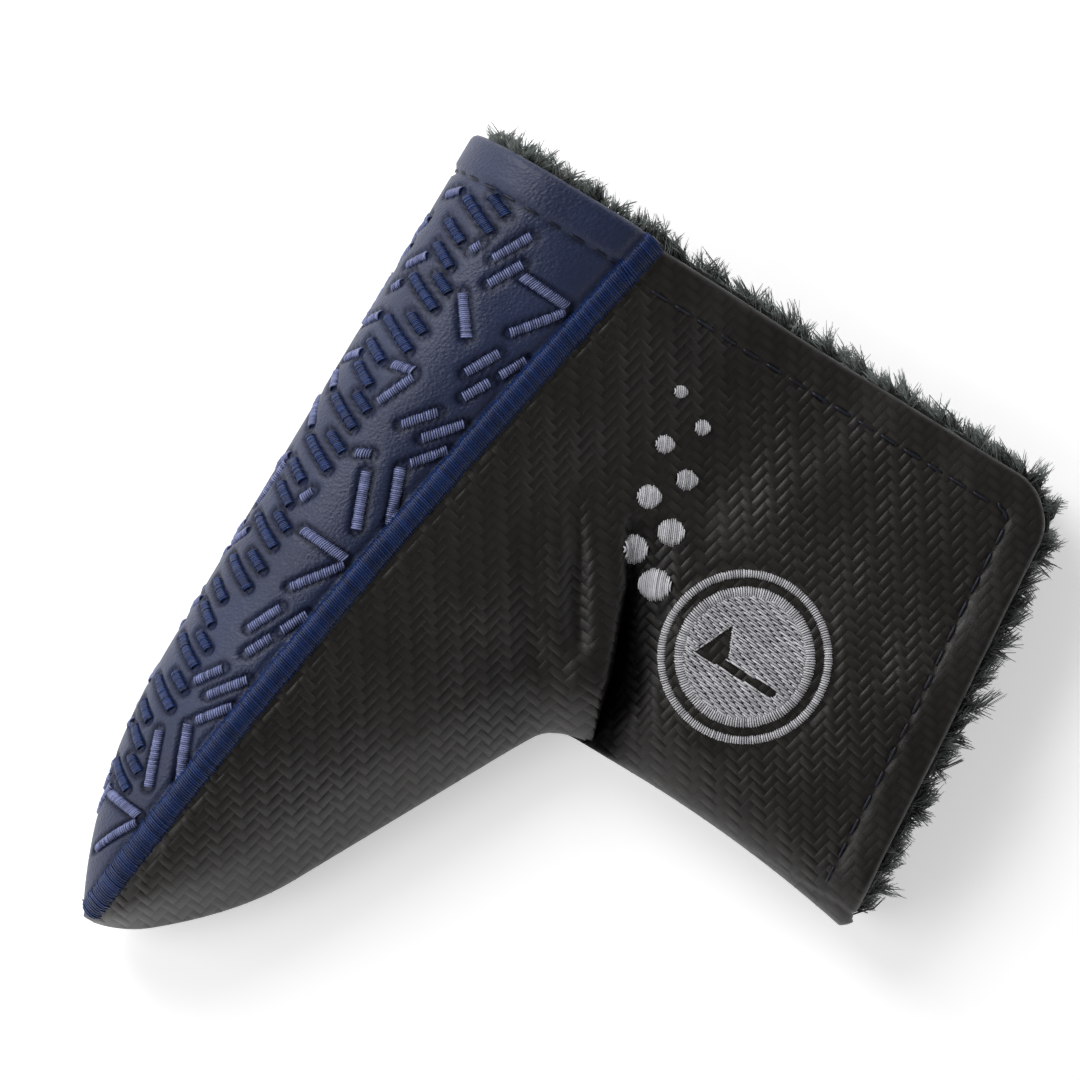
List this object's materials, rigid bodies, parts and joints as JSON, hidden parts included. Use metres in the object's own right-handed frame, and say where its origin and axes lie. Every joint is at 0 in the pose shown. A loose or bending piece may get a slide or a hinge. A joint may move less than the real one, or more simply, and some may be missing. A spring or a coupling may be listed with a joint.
{
  "type": "putter head cover",
  "caption": "L-shaped padded sock for a blade putter head, with a blue sole panel, black embossed sides, plush lining and a peel-open corner flap.",
  "frame": {"origin": "centre of the bounding box's bottom face; the cover lies on its rear side", "axes": "+X from the toe to the heel, +Y from the neck opening to the sole fold, +Z through the thickness, up from the rear face"},
  "size_m": [0.158, 0.135, 0.0365],
  "materials": {
    "front_panel": "carbon-weave embossed PU leather",
    "flap_panel": "carbon-weave embossed PU leather",
    "rear_panel": "carbon-weave embossed PU leather",
    "sole_panel": "smooth fine-grain PU leather",
    "front_foam": "foam backed with scrim",
    "flap_foam": "foam backed with scrim",
    "rear_foam": "foam backed with scrim",
    "sole_foam": "foam backed with scrim",
    "front_lining": "plush fleece pile",
    "flap_lining": "plush fleece pile",
    "rear_lining": "plush fleece pile",
    "sole_lining": "plush fleece pile",
    "front_border": "satin stitch",
    "rear_border": "satin stitch",
    "sole_hem_stitching": "lockstitched polyester thread",
    "front_hem_stitching": "lockstitched polyester thread",
    "flap_hem_stitching": "lockstitched polyester thread",
    "rear_hem_stitching": "lockstitched polyester thread",
    "blade_seam_thread": "lockstitched polyester thread",
    "neck_seam_thread": "lockstitched polyester thread",
    "hook_strip": "moulded nylon hooks",
    "loop_strip": "brushed nylon loops",
    "hook_strip_stitching": "lockstitched polyester thread",
    "loop_strip_stitching": "lockstitched polyester thread",
    "badge_ring": "satin-stitch embroidery",
    "badge_fill": "filled embroidery",
    "dot_embroidery": "satin-stitch embroidery",
    "light_embroidery": "satin-stitch embroidery",
    "navy_embroidery": "satin-stitch embroidery"
  },
  "bodies": {
    "cover": {"front_panel": "front_panel", "rear_panel": "rear_panel", "sole_panel": "sole_panel", "front_foam": "front_foam", "rear_foam": "rear_foam", "sole_foam": "sole_foam", "front_lining": "front_lining", "rear_lining": "rear_lining", "sole_lining": "sole_lining", "front_border": "front_border", "rear_border": "rear_border", "sole_hem_stitching": "sole_hem_stitching", "front_hem_stitching": "front_hem_stitching", "rear_hem_stitching": "rear_hem_stitching", "blade_seam_thread": "blade_seam_thread", "neck_seam_thread": "neck_seam_thread", "loop_strip": "loop_strip", "loop_strip_stitching": "loop_strip_stitching", "badge_ring": "badge_ring", "badge_fill": "badge_fill", "dot_embroidery": "dot_embroidery", "light_embroidery": "light_embroidery", "navy_embroidery": "navy_embroidery"},
    "flap": {"flap_panel": "flap_panel", "flap_foam": "flap_foam", "flap_lining": "flap_lining", "flap_hem_stitching": "flap_hem_stitching", "hook_strip": "hook_strip", "hook_strip_stitching": "hook_strip_stitching"}
  },
  "joints": [
    {"name": "flap_fold", "type": "hinge", "parent": "cover", "child": "flap", "pos_m": [0.0428, -0.0238, 0.0243], "axis": [-0.6668, -0.7452, 0], "range_deg": [0, 70], "stiffness_Nm_per_rad": 0.02}
  ]
}
